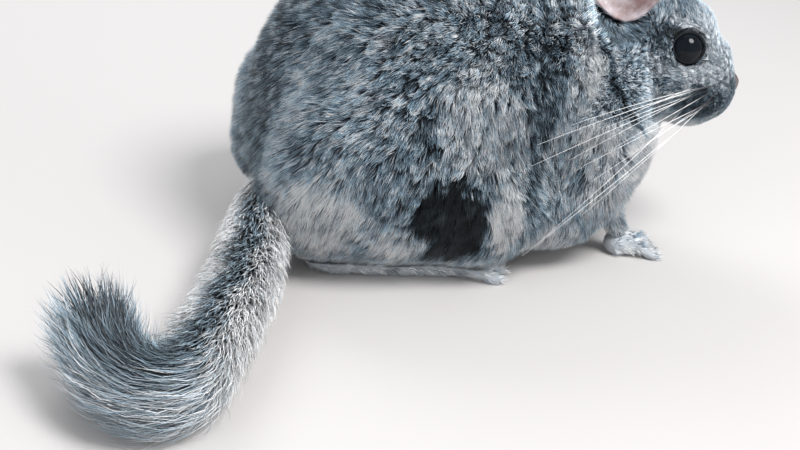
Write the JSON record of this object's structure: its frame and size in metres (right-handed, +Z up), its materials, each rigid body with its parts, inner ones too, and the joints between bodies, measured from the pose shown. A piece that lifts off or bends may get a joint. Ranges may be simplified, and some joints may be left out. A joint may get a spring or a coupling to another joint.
{
  "type": "chinchilla",
  "caption": "Still, life-size model of a grey chinchilla crouched on all fours, head lowered and turned, with its bushy tail curled on the floor",
  "frame": {"origin": "Centre of the whole animal's footprint box, on the floor it rests on", "axes": "+Z up; the animal faces -Y and +Y runs back to the tail, the longest extent; its right side is at -X"},
  "size_m": [0.2146, 0.2676, 0.1442],
  "materials": {
    "grey_coat": "matte",
    "pale_coat": "matte",
    "ear_skin": "matte",
    "eye_black": "gloss"
  },
  "bodies": {
    "root": {"head": "grey_coat", "neck": "grey_coat", "torso": "grey_coat", "haunch_left": "grey_coat", "haunch_right": "grey_coat", "tail_root": "grey_coat", "tail_middle": "grey_coat", "tail_bend": "grey_coat", "tail_brush": "grey_coat", "foreleg_left": "pale_coat", "foreleg_right": "pale_coat", "forepaw_left": "pale_coat", "forepaw_right": "pale_coat", "hindfoot_left": "pale_coat", "hindfoot_right": "pale_coat", "ear_left": "ear_skin", "ear_right": "ear_skin", "eye_left": "eye_black", "eye_right": "eye_black"}
  },
  "joints": []
}
